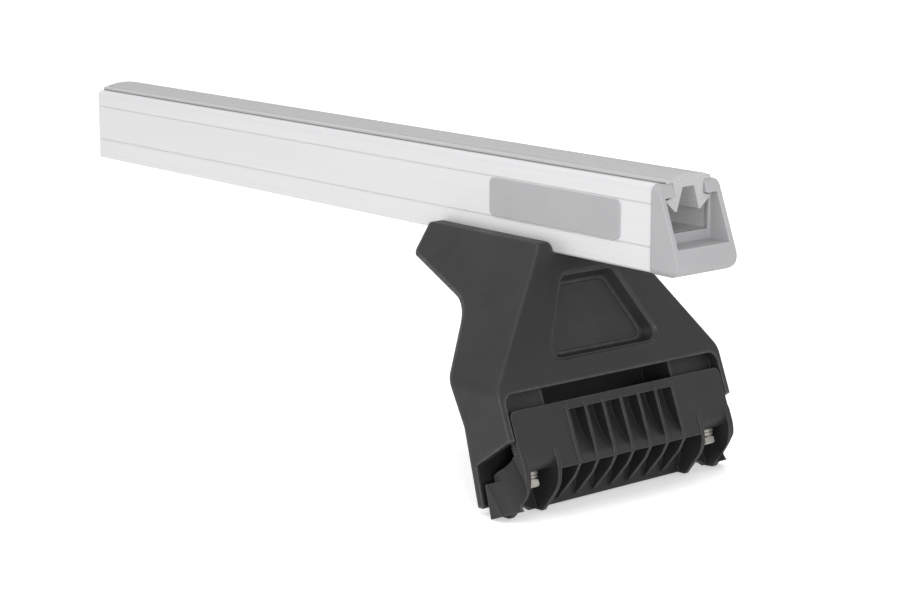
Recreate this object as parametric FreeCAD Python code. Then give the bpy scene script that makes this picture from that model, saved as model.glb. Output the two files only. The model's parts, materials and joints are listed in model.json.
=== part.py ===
import FreeCAD, Part
import math
import os
from FreeCAD import Vector

# A gutter-mounted roof rack leg with its length of crossbar, in millimetres.
# +Z is up, +X runs outboard along the bar and Y runs along the roof gutter.
# The origin is the middle of the sole of the leg's gutter blade.

# Crossbar, an aluminium extrusion
bar_length = 463.0
bar_overhang = 52.5  # from the middle of the gutter blade out to the bar's near end
bar_width = 35.8
bar_height = 40.0
bar_top_radius = 3.2
bar_foot_radius = 1.2
bar_wall = 2.0
strip_slot = 20.0  # mouth of the upper channel
strip_lip = 6.0  # thickness of the lips either side of that mouth
strip_channel_depth = 17.2  # below the lips
web = 2.0
bolt_slot = 6.8  # mouth of the lower channel
bolt_lip = 3.0
bolt_channel_width = 10.6
bolt_channel_depth = 5.5
side_groove_heights = (11.5, 30.8)
side_groove_width = 0.9
side_groove_depth = 0.45

# Rubber strip pushed into the upper channel
strip_width = 28.0
strip_rise = 4.0  # middle of the crown above the bar
strip_shoulder = 2.5  # sides of the ribbed band above the bar
strip_edge = 1.7
strip_neck_gap = 0.2  # each side, in the mouth of the channel
strip_barb_gap = 0.3  # under the lips
strip_barb_half = 14.3
strip_barb_height = 1.4
strip_leg_reach = 13.0  # below the top of the bar
strip_leg_toe = 1.2
strip_cavity_top_half = 3.6
strip_cavity_bottom_half = 6.9
strip_cavity_roof = 2.3  # below the top of the bar
strip_band_half = 11.1  # ribbed band along the crown
strip_rib_count = 18
strip_reach = 4.0  # beyond the bar's near end
strip_rib_depth = 0.3
strip_valley_width = 0.6  # plain valley beside the ribbed band
strip_valley_depth = 0.6

# End cap, pushed into the bar's near end
cap_reach = 19.5  # beyond the bar, at the underside
cap_lean = 21.5  # lean of the cap's front, in degrees
cap_wall = 2.6
cap_proud = 1.1  # beyond the bar's sides
cap_drop = 0.7  # below the bar's underside
cap_edge_radius = 3.6
cap_sill = 12.2  # height of the lower rim above the underside
cap_sill_radius = 6.5
cap_back = 2.0  # thickness of the panel across the bar's end
cap_frame = 1.1  # of that panel, either side of the strip's channel
cap_spigot_length = 15.0
cap_spigot_gap = 0.15

# Bare label plate on the bar's side
label_length = 88.4
label_height = 18.4
label_thickness = 0.6
label_radius = 3.0
label_setback = 20.4  # from the bar's near end

# Leg, a hollow moulding
leg_height = 110.0  # sole of the gutter blade up to the bar's underside
leg_width = 144.0
wall = 3.6
lean = 22.0  # of the front face, the jaw and its bolts, in degrees from upright
front_setback = 11.4  # front face at the bar's underside, inboard of the blade
deck = 5.0
bar_gap = 0.35  # each side, between the bar and the leg's cheeks
bar_seat_gap = 0.05
cheek_height = 4.8
cheek_edge = 7.1  # thickness of each cheek at its top
cheek_edge_radius = 1.2
cheek_nose_radius = 4.5
shoulder_height = 56.0  # where the sloping sides reach the full width
shoulder_radius = 10.0
arm_reach = 91.2  # inboard end of the arm's underside
arm_end_drop = 9.4  # lower corner of the arm's end, below the bar's underside
arm_end_overhang = 1.4
arm_end_radius = 4.0
waist_drop = 24.4  # below the bar's underside
waist_radius = 22.0
heel_height = 35.6
heel_radius = 10.0
flank_lean = 28.8  # of the inboard flank between waist and heel
blade = 3.8  # thickness of the gutter blade
blade_lean = 15.3
blade_edge_radius = 0.6
back_wall_top = 55.0
notch_drop = 80.9  # down the front face to the cut-away of the side walls
notch_angle = 35.4  # below level
edge_radius = 1.8  # along the corners of the front face

# Ribs and bosses inside the leg
rib = 2.8
rib_spread = 14.0  # middle ribs, each side of the centre
rib_setback = 3.0  # from the open flank
rib_foot = 56.0  # down the front face
cross_rib_depth = 12.0
boss_inset = 31.0  # inner face of the bolt bosses, from the leg's side
boss_top = 52.0
boss_foot = 80.0

# Badge recess in the front face and its bare plate
badge_top = 10.5
badge_foot = 48.8
badge_top_half = 16.2
badge_foot_half = 36.2
badge_radius = 5.0
badge_depth = 6.6
badge_draft = 2.3
badge_rim = 1.1  # bevel round the well
badge_ledge = 1.4
badge_step = 1.4
badge_thickness = 1.2
badge_gap = 0.15
badge_tub = 3.0

# Window for the jaw
window_top = 60.0
window_radius = 5.0
window_depth = 5.8  # in front of the bosses; right through between them

# Clamp jaw, a ribbed moulding
jaw_side_gap = 1.0
jaw_top = 67.8
jaw_plate = 3.0
jaw_plate_radius = 3.0
plate_lip = 1.8  # thickness of the plate's lower edge
jaw_foot = 97.5  # lower edge of the middle of the plate
jaw_block = 8.6  # depth of the middle of the jaw
pocket_top = 72.1
pocket_foot = 94.0
pocket_depth = 6.4
pocket_sag_drop = 0.62  # share of the height at which the scoop is sag_depth deep
pocket_sag_depth = 0.66  # share of the pocket's depth
vane_count = 7
vane_pitch = 11.3
vane = 1.6
shell = 2.5
end_wall = 3.2
inner_wall = 2.0
inner_wall_inset = 24.5  # outer side of the inner walls, from the leg's side
roof_seat = 95.6  # underside of the roof over each bolt
roof_top = 88.9
roof_fall = 0.2
roof_nose_radius = 5.4
roof_overlap = 1.0  # over the blade's top edge
prow_drop = 103.0  # corner of the walls' curved front edge
prow_radius = 16.0
chin_drop = 114.0
chin_depth = 18.0
vane_radius = 13.0
vane_bend_drop = 102.2
vane_bend_depth = 5.4
jaw_blade_top = 96.4
jaw_blade_foot = 112.3
jaw_blade_edge = 1.2
jaw_blade_base = 2.8
ear_base = 8.4  # thickness of the blade's ends at the foot
jaw_blade_overlap = 1.0  # past the leg's side, each end
gutter_gap = 5.3  # between the leg's blade and the jaw's
arch_radius = 9.0
arch_rise = 2.8
scoop_depth = 2.2  # of the end walls' hollowed outer faces
scoop_radius = 12.0
block_radius = 6.0
shell_radius = 6.0
shell_crest = 15.0  # depth of the wall behind the vanes, above
shell_knee = 18.0  # and half way down
ridge = 0.5  # by which the vanes and walls stand proud of the plate
ridge_ramp = 2.6

# Clamp bolts, M6
clamp_bolt_inset = 14.8  # from the leg's side
clamp_bolt_depth = 12.4
clamp_thread = 6.0
clamp_bolt_length = 45.0
clamp_head = 4.0
clamp_flats = 10.0
clamp_nut = 5.0
clamp_washer_width = 12.0
clamp_washer = 1.6
clamp_spring_width = 11.0
clamp_spring = 1.6
nut_seat = 74.5  # floor of the nut pocket
nut_gap = 0.15
thread_gap = 0.06
clamp_hole = 6.6
washer_gap = 0.2
washer_room = 0.3  # between a washer and the jaw's blade wall
crown_share = 0.95  # of the width across flats, left flat on a turned face
point_share = 0.12  # of the thread, turned off at a bolt's tip
slit_share = 0.4  # of a spring washer's height

# Channel bolts that hold the bar down, M6
channel_bolt_setbacks = {"outer": 24.1, "inner": 67.1}  # inboard of the front face's top edge
channel_thread = 6.0
channel_bolt_length = 20.0
channel_head = 4.0
channel_flats = 10.0
channel_nut = 5.0
channel_washer_width = 12.0
channel_washer = 1.6
channel_spring_width = 11.0
channel_spring = 1.6
channel_hole = 6.6
channel_head_gap = 0.1

# Worked out from the sizes above
bar_half = bar_width / 2
bar_floor = leg_height + bar_seat_gap
bar_near = bar_overhang
bar_far = bar_overhang - bar_length
inner_half = bar_half - bar_wall
lip_underside = bar_height - strip_lip
strip_floor = lip_underside - strip_channel_depth
lower_web = bolt_lip + bolt_channel_depth
slant = math.radians(lean)
down = Vector(math.sin(slant), 0, -math.cos(slant))
inward = Vector(-math.cos(slant), 0, -math.sin(slant))
brow = Vector(-front_setback, 0, leg_height)
leg_half = leg_width / 2
arm_end_height = leg_height - arm_end_drop
waist_height = leg_height - waist_drop
jaw_half = leg_half - wall - jaw_side_gap
boss_inner = leg_half - boss_inset
wall_inner = leg_half - inner_wall_inset
clamp_bolt_spread = leg_half - clamp_bolt_inset
beyond = 400.0  # past every face of the leg
clear = 1.0  # by which a cut runs past the face that it opens


def sloped(drop, depth, across=0.0):
    """Point drop down the front face, depth behind it and across from the centre."""
    return brow + down * drop + inward * depth + Vector(0, across, 0)


def rounded_wire(corners, place):
    """Closed wire through corners (u, v) or (u, v, radius), put in space by place."""
    spans = []
    for index, corner in enumerate(corners):
        here = Vector(corner[0], corner[1], 0)
        before = corners[index - 1]
        after = corners[(index + 1) % len(corners)]
        back = (Vector(before[0], before[1], 0) - here).normalize()
        ahead = (Vector(after[0], after[1], 0) - here).normalize()
        radius = corner[2] if len(corner) > 2 else 0
        half_turn = back.getAngle(ahead) / 2
        if radius == 0 or half_turn > math.radians(89.5):
            spans.append([here])
            continue
        reach = radius / math.tan(half_turn)
        middle = here + (back + ahead).normalize() * (radius / math.sin(half_turn) - radius)
        spans.append([here + back * reach, middle, here + ahead * reach])
    edges = []
    for index, span in enumerate(spans):
        points = [place(point.x, point.y) for point in span]
        following = spans[(index + 1) % len(spans)][0]
        if len(points) == 3:
            edges.append(Part.Arc(*points).toShape())
        edges.append(Part.makeLine(points[-1], place(following.x, following.y)))
    return Part.Wire(edges)


def across_prism(corners, low, high):
    """Prism of an outline in X and Z, from Y low to Y high."""
    wire = rounded_wire(corners, lambda x, z: Vector(x, low, z))
    return Part.Face(wire).extrude(Vector(0, high - low, 0))


def lengthwise_prism(corners, low, high):
    """Prism of an outline in Y and Z, from X low to X high."""
    wire = rounded_wire(corners, lambda y, z: Vector(low, y, z))
    return Part.Face(wire).extrude(Vector(high - low, 0, 0))


def sloped_across(corners, low, high):
    """Prism of an outline in drop and depth, from Y low to Y high."""
    wire = rounded_wire(corners, lambda drop, depth: sloped(drop, depth, low))
    return Part.Face(wire).extrude(Vector(0, high - low, 0))


def sloped_through(corners, low, high):
    """Prism of an outline in Y and drop, from depth low to depth high."""
    wire = rounded_wire(corners, lambda y, drop: sloped(drop, low, y))
    return Part.Face(wire).extrude(inward * (high - low))


def mirrored(shapes):
    """The shapes with their mirror images across the leg's middle plane."""
    return shapes + [shape.mirror(Vector(0, 0, 0), Vector(0, 1, 0)) for shape in shapes]


def fused(shapes):
    """One clean solid from shapes that meet."""
    return shapes[0].fuse(shapes[1:]).removeSplitter()


def both_sides(half):
    """Outline of a shape that mirrors about u = 0, from its corners on the positive side."""
    return half + [(-corner[0],) + tuple(corner[1:]) for corner in reversed(half)]


# Bar and what it carries


def bar_section_solid(low, high):
    """Outside of the bar, without its channels, from X low to X high."""
    half = [
        (bar_half, bar_floor, bar_foot_radius),
        (bar_half, bar_floor + bar_height, bar_top_radius),
    ]
    return lengthwise_prism(both_sides(half), low, high)


def bar_box(half_width, low, high, start, end):
    """Box centred on the bar, between two heights above its underside."""
    corner = Vector(start, -half_width, bar_floor + low)
    return Part.makeBox(end - start, 2 * half_width, high - low, corner)


def crossbar():
    """Extrusion with an open channel above, a bolt channel below and closed chambers."""
    start = bar_far - clear
    end = bar_near + clear
    side_chamber_inner = bolt_channel_width / 2 + bar_wall
    cuts = [
        bar_box(strip_slot / 2, lip_underside - clear, bar_height + clear, start, end),
        bar_box(inner_half, strip_floor, lip_underside, start, end),
        bar_box(inner_half, lower_web + web, strip_floor - web, start, end),
        bar_box(bolt_slot / 2, -clear, bolt_lip + clear, start, end),
        bar_box(bolt_channel_width / 2, bolt_lip, lower_web, start, end),
    ]
    for side in (-1, 1):
        near = min(side * side_chamber_inner, side * inner_half)
        corner = Vector(start, near, bar_floor + bar_wall)
        width = inner_half - side_chamber_inner
        cuts.append(Part.makeBox(end - start, width, lower_web - bar_wall, corner))
        for height in side_groove_heights:
            groove = [
                (side * (bar_half + side_groove_depth), bar_floor + height - side_groove_width),
                (side * (bar_half + side_groove_depth), bar_floor + height + side_groove_width),
                (side * (bar_half - side_groove_depth), bar_floor + height),
            ]
            cuts.append(lengthwise_prism(groove, start, end))
    return bar_section_solid(bar_far, bar_near).cut(cuts).removeSplitter()


def end_cap():
    """Hollow cap with a leaning front, open above for the strip, and a spigot into the bar."""
    end = bar_near + cap_reach + clear
    lean_run = math.tan(math.radians(cap_lean)) * bar_height
    side = [
        (bar_near, bar_floor + bar_height + clear),
        (bar_near + cap_reach - lean_run - clear, bar_floor + bar_height + clear),
        (bar_near + cap_reach - lean_run, bar_floor + bar_height),
        (bar_near + cap_reach, bar_floor - cap_drop, cap_sill_radius),
        (bar_near, bar_floor - cap_drop),
    ]
    section = both_sides([
        (bar_half + cap_proud, bar_floor - cap_drop, cap_edge_radius),
        (bar_half + cap_proud, bar_floor + bar_height, cap_edge_radius),
    ])
    outside = lengthwise_prism(section, bar_near, end).common(across_prism(side, -bar_width, bar_width))
    half = bar_half + cap_proud - cap_wall
    spigot_low = lower_web + web + cap_spigot_gap
    spigot_high = strip_floor - web - cap_spigot_gap
    spigot_start = bar_near - cap_spigot_length
    spigot = bar_box(inner_half - cap_spigot_gap, spigot_low, spigot_high, spigot_start, bar_near)
    back = bar_near + cap_back
    cuts = [
        bar_box(half, cap_sill, lip_underside, back, end),
        bar_box(half - cap_frame, strip_floor, lip_underside, bar_near - clear, back + clear),
        bar_box(strip_slot / 2, lip_underside - clear, bar_height + clear, bar_near - clear, end),
    ]
    return fused([outside, spigot]).cut(cuts).removeSplitter()


def crown_height(across):
    """Height of the strip's arched crown at a distance from its middle."""
    fall = (strip_rise - strip_shoulder) * (across / strip_band_half) ** 2
    return bar_floor + bar_height + strip_rise - fall


def strip_outline():
    """Corners of one half of the strip's section, from the crown round to the cavity."""
    top = bar_floor + bar_height
    edge_top = top + strip_edge
    half = strip_width / 2
    neck = strip_slot / 2 - strip_neck_gap
    barb_top = bar_floor + lip_underside - strip_barb_gap
    foot = top - strip_leg_reach
    valley = strip_band_half + strip_valley_width
    corners = []
    pitch = strip_band_half / (strip_rib_count / 2)
    for index in range(strip_rib_count // 2):
        corners.append((pitch * index, crown_height(pitch * index) - strip_rib_depth))
        corners.append((pitch * (index + 0.5), crown_height(pitch * (index + 0.5))))
    corners += [
        (strip_band_half, top + strip_shoulder - strip_valley_depth),
        (valley, top + strip_shoulder - strip_valley_depth),
        (valley, top + strip_shoulder - strip_rib_depth, 0.3),
        (half, edge_top, 0.8),
        (half, top, 0.5),
        (neck, top),
        (neck, barb_top),
        (strip_barb_half, barb_top - strip_barb_height, 0.3),
        (strip_cavity_bottom_half + strip_leg_toe, foot, 0.4),
        (strip_cavity_bottom_half, foot),
        (strip_cavity_top_half, top - strip_cavity_roof, 0.5),
    ]
    return corners


def top_strip():
    """Rubber strip with a ribbed crown and two barbed legs."""
    half = strip_outline()
    corners = half + [(-corner[0],) + tuple(corner[1:]) for corner in reversed(half[1:])]
    return lengthwise_prism(corners, bar_far, bar_near + strip_reach)


def bar_label():
    """Bare plate stuck to the near side of the bar."""
    high = bar_near - label_setback
    low = high - label_length
    middle = bar_floor + sum(side_groove_heights) / 2
    corners = [
        (low, middle - label_height / 2, label_radius),
        (high, middle - label_height / 2, label_radius),
        (high, middle + label_height / 2, label_radius),
        (low, middle + label_height / 2, label_radius),
    ]
    return across_prism(corners, -bar_half - label_thickness, -bar_half)


# Leg


def blade_x(height, offset=0.0):
    """X of the blade's inboard face at a height, moved outboard by offset."""
    return -blade / 2 - math.tan(math.radians(blade_lean)) * height + offset


def flank_x(height, offset=0.0):
    """X of the inboard flank between heel and waist, moved outboard by offset."""
    return blade_x(heel_height) - math.tan(math.radians(flank_lean)) * (height - heel_height) + offset


def crossing(start, direction, base, heading):
    """Where a line from start meets a line from base, both in the XZ plane."""
    scale = direction[0] * heading[1] - direction[1] * heading[0]
    along = ((base[0] - start[0]) * heading[1] - (base[1] - start[1]) * heading[0]) / scale
    return (start[0] + direction[0] * along, start[1] + direction[1] * along)


def notch_corner():
    """Where the side walls' lower edge meets the outboard face of the blade."""
    start = sloped(notch_drop, 0)
    fall = math.radians(notch_angle)
    heading = (-math.tan(math.radians(blade_lean)), 1.0)
    return crossing((start.x, start.z), (-math.cos(fall), -math.sin(fall)), (blade_x(0, blade), 0), heading)


def leg_side_outline():
    """Corners of the leg seen along the gutter."""
    top = leg_height + cheek_height
    notch_front = sloped(notch_drop, 0)
    notch_back = notch_corner()
    nose = sloped(-cheek_height / math.cos(slant), 0)
    return [
        (-arm_reach - arm_end_overhang, top, 1.0),
        (-arm_reach, arm_end_height, arm_end_radius),
        (flank_x(waist_height), waist_height, waist_radius),
        (blade_x(heel_height), heel_height, heel_radius),
        (blade_x(0), 0, blade_edge_radius),
        (blade_x(0, blade), 0, blade_edge_radius),
        (notch_back[0], notch_back[1], 1.5),
        (notch_front.x, notch_front.z),
        (nose.x, nose.z, cheek_nose_radius),
    ]


def shoulder_half(height):
    """Half width of the leg's outside at a height on its sloping shoulders."""
    top_half = bar_half + bar_gap + cheek_edge
    top = leg_height + cheek_height
    return top_half + (leg_half - top_half) * (top - height) / (top - shoulder_height)


def leg_front_outline(inset, top, top_radius=0):
    """Corners of the leg seen along the bar up to a height, with its sides moved in by inset."""
    slope = (leg_half - shoulder_half(top)) / (top - shoulder_height)
    sideways = inset * math.hypot(1, slope)
    bend = shoulder_height - (sideways - inset) / slope
    radius = max(shoulder_radius - inset, 1.0)
    half = [(leg_half - inset, -clear), (leg_half - inset, bend, radius)]
    return both_sides(half + [(shoulder_half(top) - sideways, top, top_radius)])


def leg_outside():
    """The leg as a solid block, with its front corners rounded."""
    top = leg_height + cheek_height
    wedge = sloped_across([(-beyond, 0), (beyond, 0), (beyond, beyond), (-beyond, beyond)], -leg_width, leg_width)
    block = wedge.common(lengthwise_prism(leg_front_outline(0, top + cheek_height), -beyond, beyond))
    block = block.makeFillet(edge_radius, [edge for edge in block.Edges if is_front_corner(edge)])
    rounded_top = lengthwise_prism(leg_front_outline(0, top, cheek_edge_radius), -beyond, beyond)
    return block.common(rounded_top).common(across_prism(leg_side_outline(), -leg_width, leg_width))


def is_front_corner(edge):
    """True for the edges between the front face and the leg's sides."""
    first, last = edge.Vertexes[0].Point, edge.Vertexes[-1].Point
    on_front = all(abs((point - brow).dot(inward)) < 0.01 for point in (first, last, edge.CenterOfMass))
    return on_front and abs(first.z - last.z) > 0.01


def leg_cavity():
    """Hollow of the leg, open along its inboard flank and underneath."""
    ceiling = leg_height - deck
    front_top = crossing(to_pair(sloped(0, wall)), to_pair(down), (0, ceiling), (1, 0))
    front_foot = sloped(notch_drop + heel_height, wall)
    heel_shift = blade / math.cos(math.radians(flank_lean))
    end_slope = arm_end_overhang / (leg_height + cheek_height - arm_end_height)
    end_x = -arm_reach + wall
    inner_heel = crossing(
        (blade_x(0, blade), 0),
        (-math.tan(math.radians(blade_lean)), 1),
        (flank_x(heel_height, heel_shift), heel_height),
        (-math.tan(math.radians(flank_lean)), 1),
    )
    corners = [
        (front_top[0], front_top[1], 2.0),
        (front_foot.x, front_foot.z),
        (blade_x(-heel_height, blade), -heel_height),
        (inner_heel[0], inner_heel[1], heel_radius - blade / 2),
        (flank_x(back_wall_top, heel_shift), back_wall_top),
        (end_x + end_slope * (arm_end_height - back_wall_top), back_wall_top),
        (end_x - end_slope * (ceiling - arm_end_height), ceiling, 1.5),
    ]
    profile = across_prism(corners, -leg_half, leg_half)
    return profile.common(lengthwise_prism(leg_front_outline(wall, ceiling), -beyond, beyond))


def to_pair(vector):
    """X and Z of a vector."""
    return (vector.x, vector.z)


def rib_web(low, high, foot):
    """Rib in the plane of the bar, set back from the open flank, down to foot on the front face."""
    front_foot = sloped(foot, wall / 2)
    floor = max(front_foot.z, back_wall_top - rib_setback)
    shift = rib_setback / math.cos(math.radians(flank_lean))
    corners = [
        (-front_setback, leg_height - deck / 2),
        (front_foot.x, front_foot.z),
        (flank_x(floor, shift), floor),
        (flank_x(waist_height, shift), waist_height + rib_setback, waist_radius - rib_setback),
        (-arm_reach + wall / 2, arm_end_height + rib_setback),
        (-arm_reach + wall / 2, leg_height - deck / 2),
    ]
    return across_prism(corners, low, high)


def cross_rib(x):
    """Rib across the underside of the deck."""
    low = leg_height - deck - cross_rib_depth
    return Part.makeBox(rib, leg_width, cross_rib_depth + deck / 2, Vector(x - rib / 2, -leg_half, low))


def bolt_boss():
    """Block on the positive side that holds one clamp nut."""
    back = blade_x(0, blade / 2)
    foot_depth = (Vector(back, 0, heel_height / 2) - brow).dot(inward)
    corners = [(boss_top, wall / 2), (boss_foot, wall / 2), (boss_foot, foot_depth + wall), (boss_top, foot_depth)]
    return sloped_across(corners, boss_inner, leg_half - wall / 2)


def badge_outline(inset):
    """Corners of the badge recess in the front face, with its sides moved in by inset."""
    slope = (badge_foot_half - badge_top_half) / (badge_foot - badge_top)
    sideways = inset * math.hypot(1, slope)
    top = badge_top + inset
    foot = badge_foot - inset
    radius = max(badge_radius - inset / 2, 1.0)
    half = [
        (badge_top_half + slope * inset - sideways, top, radius),
        (badge_foot_half - slope * inset - sideways, foot, radius),
    ]
    return both_sides(half)


def badge_recess():
    """Cut for the badge: a drafted well, a ledge and a step for the plate."""
    draft = badge_draft / badge_depth
    rim = rounded_wire(badge_outline(-clear * draft), lambda y, drop: sloped(drop, -clear, y))
    floor = rounded_wire(badge_outline(badge_draft), lambda y, drop: sloped(drop, badge_depth, y))
    well = Part.makeLoft([rim, floor], True)
    bevel_rim = rounded_wire(badge_outline(-badge_rim - clear), lambda y, drop: sloped(drop, -clear, y))
    bevel_foot = rounded_wire(badge_outline(0), lambda y, drop: sloped(drop, badge_rim, y))
    bevel = Part.makeLoft([bevel_rim, bevel_foot], True)
    step_outline = badge_outline(badge_draft + badge_ledge)
    step = sloped_through(step_outline, badge_depth - clear, badge_depth + badge_step)
    return well.fuse([bevel, step])


def leg_window():
    """Opening in the lower front face, in which the jaw slides, cut through between the bosses."""
    half = leg_half - wall
    foot = notch_drop * 2
    front = both_sides([(half, window_top, window_radius), (half, foot)])
    middle = both_sides([(boss_inner, window_top), (boss_inner, foot)])
    return sloped_through(front, -clear, window_depth).fuse(sloped_through(middle, 0, wall + clear))


def clamp_post(side, radius, low, high):
    """Cylinder on a clamp bolt's axis between two drops."""
    base = sloped(low, clamp_bolt_depth, side * clamp_bolt_spread)
    return Part.makeCylinder(radius, high - low, base, down)


def nut_slot(side):
    """Slot in a boss that takes one clamp nut from the window and keeps it from turning."""
    half = clamp_flats / math.sqrt(3) + nut_gap
    middle = side * clamp_bolt_spread
    top = nut_seat - clamp_nut - 2 * nut_gap
    corners = [(middle - half, top), (middle + half, top), (middle + half, nut_seat), (middle - half, nut_seat)]
    return sloped_through(corners, window_depth - clear, clamp_bolt_depth + clamp_flats / 2 + nut_gap)


def hexagon(flats, height, base, axis, flat_towards):
    """Hexagonal prism with two of its flats facing flat_towards."""
    beside = axis.cross(flat_towards)
    corner_radius = flats / math.sqrt(3)
    points = []
    for index in range(6):
        turn = math.radians(60 * index)
        points.append(base + (beside * math.cos(turn) + flat_towards * math.sin(turn)) * corner_radius)
    return Part.Face(Part.makePolygon(points + [points[0]])).extrude(axis * height)


def channel_x(place):
    """X of a channel bolt."""
    return -front_setback - channel_bolt_setbacks[place]


def leg_body():
    """The leg moulding: shell, ribs, bolt bosses, badge well, jaw window and gutter blade."""
    outside = leg_outside()
    rib_low = rib_spread - rib / 2
    parts = mirrored([
        rib_web(rib_low, rib_low + rib, rib_foot),
        rib_web(boss_inner, boss_inner + rib, notch_drop),
        bolt_boss(),
    ])
    for place in channel_bolt_setbacks:
        parts.append(cross_rib(channel_x(place) + channel_washer_width))
    parts.append(sloped_through(badge_outline(-badge_tub), wall / 2, badge_depth + badge_step + badge_tub))
    filling = parts[0].fuse(parts[1:]).common(outside)
    body = fused([outside.cut(leg_cavity()), filling])
    trough_half = bar_half + bar_gap
    trough = Part.makeBox(2 * beyond, 2 * trough_half, beyond, Vector(-beyond, -trough_half, leg_height))
    cuts = [trough, badge_recess(), leg_window()]
    for side in (-1, 1):
        cuts.append(nut_slot(side))
        cuts.append(clamp_post(side, clamp_hole / 2, boss_top - wall, boss_foot + wall))
    for place in channel_bolt_setbacks:
        base = Vector(channel_x(place), 0, leg_height - deck - clear)
        cuts.append(Part.makeCylinder(channel_hole / 2, deck + 2 * clear, base))
    return body.cut(cuts).removeSplitter()


def leg_badge():
    """Bare plate in the step of the badge recess."""
    inset = badge_draft + badge_ledge + badge_gap
    floor = badge_depth + badge_step
    return sloped_through(badge_outline(inset), floor - badge_thickness, floor)


# Jaw


def jaw_blade_depth(drop, offset=0.0):
    """Depth of the jaw blade's gutter face at a drop, moved outboard by offset."""
    lean_gap = math.radians(lean - blade_lean)
    start = Vector(blade_x(0, blade), 0, 0) - brow
    leg_depth = start.dot(inward) + (drop - start.dot(down)) * math.tan(lean_gap)
    return leg_depth - gutter_gap - offset


def jaw_wall_outline():
    """Corners of the jaw's upright walls, with the curved front edge."""
    back_top = jaw_blade_depth(jaw_blade_top, jaw_blade_edge)
    back_foot = jaw_blade_depth(jaw_blade_foot, jaw_blade_base / 2)
    return [
        (roof_top - ridge_ramp, jaw_plate / 2),
        (roof_top - ridge_ramp, 0),
        (roof_top, -ridge),
        (prow_drop, -ridge, prow_radius),
        (chin_drop, chin_depth, 1.0),
        (jaw_blade_foot, back_foot),
        (jaw_blade_top, back_top),
        (roof_top + roof_fall * back_top, back_top, 1.0),
    ]


def jaw_plate_solid():
    """Front plate, deeper in the middle and shorter over the bolts."""
    outer = [(jaw_half, jaw_top, jaw_plate_radius), (jaw_half, roof_top)]
    middle = [(wall_inner, roof_top), (wall_inner, jaw_foot)]
    return sloped_through(both_sides(outer + middle), 0, jaw_plate)


def jaw_block_solid():
    """Thick middle of the jaw behind the pockets."""
    half = vane_pitch * (vane_count - 1) / 2 + vane * 1.5
    corners = [
        (jaw_top, jaw_plate / 2),
        (jaw_foot - plate_lip, jaw_plate / 2),
        (jaw_foot - plate_lip, plate_lip),
        ((pocket_top + pocket_foot) / 2, jaw_block, block_radius),
        (jaw_top, jaw_block, 1.0),
    ]
    return sloped_across(corners, -half, half)


def jaw_roof():
    """Roof over one bolt, with the rounded nose that carries the washer's seat."""
    front = clamp_bolt_depth + clamp_washer_width / 2 + washer_room
    back = jaw_blade_depth(jaw_blade_top, jaw_blade_edge / 2)
    foot = jaw_blade_top + roof_overlap
    corners = [
        (jaw_top + jaw_plate, jaw_plate),
        (jaw_top + jaw_plate, 0),
        (roof_seat, 0, roof_nose_radius),
        (roof_seat, front),
        (foot, front),
        (foot, back),
        (roof_top + roof_fall * back, back, 1.0),
        (roof_top, jaw_plate, 1.5),
    ]
    return sloped_across(corners, wall_inner - inner_wall, jaw_half)


def jaw_shell():
    """Wall behind the vanes, upright above and sloping out to the chin."""
    knee = (jaw_foot + jaw_blade_foot) / 2
    foot = jaw_blade_depth(jaw_blade_foot, jaw_blade_base / 2)
    crest = pocket_foot - shell
    corners = [
        (jaw_foot - shell, plate_lip),
        (pocket_foot + shell / 2, shell_crest, 3.0),
        (knee, shell_knee, shell_radius),
        (jaw_blade_foot - clear, foot),
        (jaw_blade_foot - shell, foot),
        (knee - shell / 2, shell_knee + shell, shell_radius),
        (crest, shell_crest + shell, 3.0),
        (crest, plate_lip),
    ]
    return sloped_across(corners, -wall_inner, wall_inner)


def jaw_blade():
    """Blade that faces the leg's own across the gutter's flange."""
    corners = [
        (jaw_blade_top, jaw_blade_depth(jaw_blade_top), 0.5),
        (jaw_blade_top, jaw_blade_depth(jaw_blade_top, jaw_blade_edge), 0.5),
        (jaw_blade_foot, jaw_blade_depth(jaw_blade_foot, jaw_blade_base), 0.5),
        (jaw_blade_foot, jaw_blade_depth(jaw_blade_foot), 0.5),
    ]
    half = leg_half + jaw_blade_overlap
    return sloped_across(corners, -half, half)


def vane_places():
    """Y of each vane."""
    first = -vane_pitch * (vane_count - 1) / 2
    return [first + vane_pitch * index for index in range(vane_count)]


def jaw_vane(y):
    """Thin rib from the foot of the plate to the chin."""
    knee = (jaw_foot + jaw_blade_foot) / 2
    foot = jaw_blade_foot - clear
    corners = [
        (pocket_top - ridge_ramp, jaw_plate / 2),
        (pocket_top - ridge_ramp, 0),
        (pocket_top, -ridge),
        (jaw_foot - ridge_ramp, -ridge),
        (jaw_foot, 0),
        (vane_bend_drop, vane_bend_depth, vane_radius),
        (foot, jaw_blade_depth(foot, jaw_blade_base / 2)),
        (knee, shell_knee + shell / 2),
        (pocket_foot, shell_crest + shell / 2),
        (pocket_foot, jaw_plate / 2),
    ]
    return sloped_across(corners, y - vane / 2, y + vane / 2)


def jaw_pocket(low, high):
    """Scoop in the plate between two vanes, deep above and running out below."""
    top = [sloped(pocket_top, -clear, low), sloped(pocket_top, pocket_depth, low)]
    foot = sloped(pocket_foot, -0.01, low)
    middle_drop = pocket_top + pocket_sag_drop * (pocket_foot - pocket_top)
    middle = sloped(middle_drop, pocket_sag_depth * pocket_depth, low)
    edges = [
        Part.makeLine(top[0], top[1]),
        Part.Arc(top[1], middle, foot).toShape(),
        Part.makeLine(foot, sloped(pocket_foot, -clear, low)),
        Part.makeLine(sloped(pocket_foot, -clear, low), top[0]),
    ]
    return Part.Face(Part.Wire(edges)).extrude(Vector(0, high - low, 0))


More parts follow.
